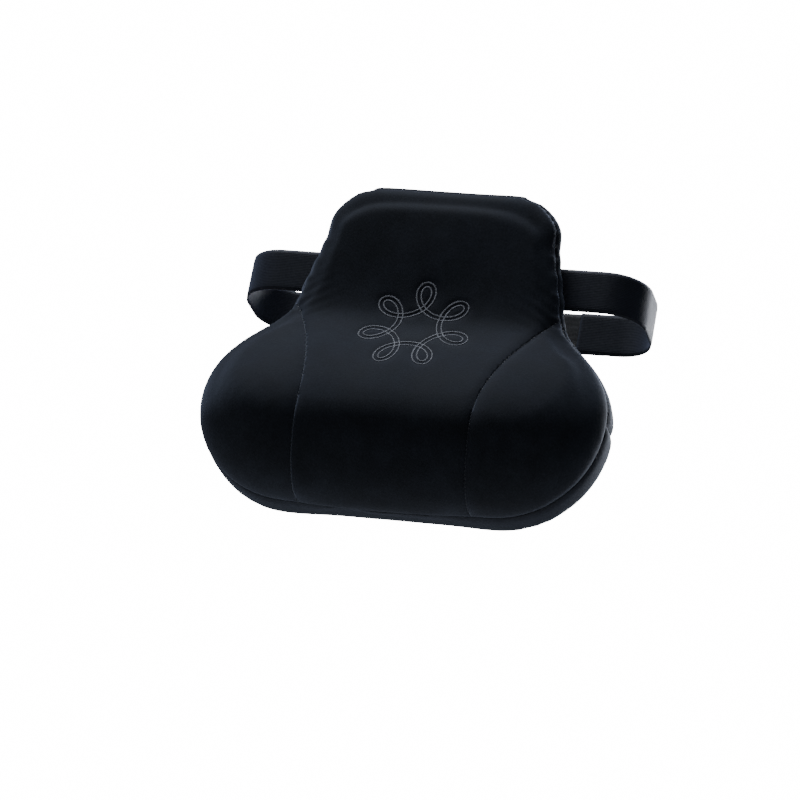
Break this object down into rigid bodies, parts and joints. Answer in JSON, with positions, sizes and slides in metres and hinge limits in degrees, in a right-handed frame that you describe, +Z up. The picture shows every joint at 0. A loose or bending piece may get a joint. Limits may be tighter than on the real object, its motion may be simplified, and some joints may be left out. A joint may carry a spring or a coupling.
{
  "type": "strap-on head and neck cushion",
  "caption": "Bell-shaped head and neck cushion in black velour, thick roll below a thin upper pad, held by an elastic strap with a side-release buckle.",
  "frame": {"origin": "middle of the back face at the height of the strap", "axes": "+Z up, front towards -Y, back face on Y = 0, X across the width"},
  "size_m": [0.3548, 0.191, 0.305],
  "materials": {
    "velour": "short dense pile, matt, with a soft sheen",
    "back_cloth": "smooth tight knit, matt",
    "thread": "embroidery thread, slight gloss",
    "stabiliser": "felted, matt",
    "liner": "thin knit, matt",
    "foam": "open-cell foam, matt",
    "elastic": "woven elastic, ribbed along its length",
    "webbing": "woven webbing, herringbone",
    "zip_tape": "woven tape, matt",
    "zip_coil": "nylon coil, satin",
    "zip_metal": "black enamel, satin, worn at its edges",
    "buckle_plastic": "fine spark-eroded texture"
  },
  "bodies": {
    "cushion": {"front_centre_panel": "velour", "cheek_panel_left": "velour", "cheek_panel_right": "velour", "gusset_upper": "velour", "gusset_lower": "velour", "back_panel_upper": "back_cloth", "back_panel_lower": "back_cloth", "liner_front": "liner", "liner_back": "liner", "foam_core": "foam", "emblem_embroidery": "thread", "emblem_backing": "stabiliser", "zip_tape_upper": "zip_tape", "zip_tape_lower": "zip_tape", "zip_coil_upper": "zip_coil", "zip_coil_lower": "zip_coil", "zip_top_stops": "zip_metal", "zip_bottom_stop": "zip_metal", "elastic_left": "elastic", "elastic_right": "elastic", "webbing_left": "webbing", "webbing_right": "webbing", "buckle_housing": "buckle_plastic"},
    "plug": {"buckle_plug": "buckle_plastic"},
    "arm_upper": {"latch_arm_upper": "buckle_plastic"},
    "arm_lower": {"latch_arm_lower": "buckle_plastic"},
    "adjuster": {"triglide": "buckle_plastic"},
    "slider": {"zip_slider": "zip_metal"},
    "pull": {"zip_pull": "zip_metal"}
  },
  "joints": [
    {"name": "buckle_release", "type": "slide", "parent": "cushion", "child": "plug", "axis": [1, 0, 0], "range_m": [0, 0.034], "deforming": ["webbing_right", "latch_arm_upper", "latch_arm_lower"]},
    {"name": "latch_press_upper", "type": "hinge", "parent": "plug", "child": "arm_upper", "pos_m": [0.0059, 0.0919, 0.0142], "axis": [0, 1, 0], "range_deg": [-13.5, 0], "stiffness_Nm_per_rad": 0.15},
    {"name": "latch_press_lower", "type": "hinge", "parent": "plug", "child": "arm_lower", "pos_m": [0.0059, 0.0919, -0.0142], "axis": [0, 1, 0], "range_deg": [0, 13.5], "stiffness_Nm_per_rad": 0.15},
    {"name": "strap_adjust", "type": "slide", "parent": "cushion", "child": "adjuster", "axis": [1, 0, 0], "range_m": [-0.008, 0.012]},
    {"name": "zip_travel", "type": "slide", "parent": "cushion", "child": "slider", "axis": [-1, 0, 0], "range_m": [0, 0.214]},
    {"name": "zip_pull_swing", "type": "hinge", "parent": "slider", "child": "pull", "pos_m": [0.1072, 0.0018, -0.164], "axis": [0, 0, 1], "range_deg": [-170, 0]}
  ],
  "couplings": [
    {"joint": "latch_press_lower", "follows": "latch_press_upper", "ratio": -1}
  ]
}
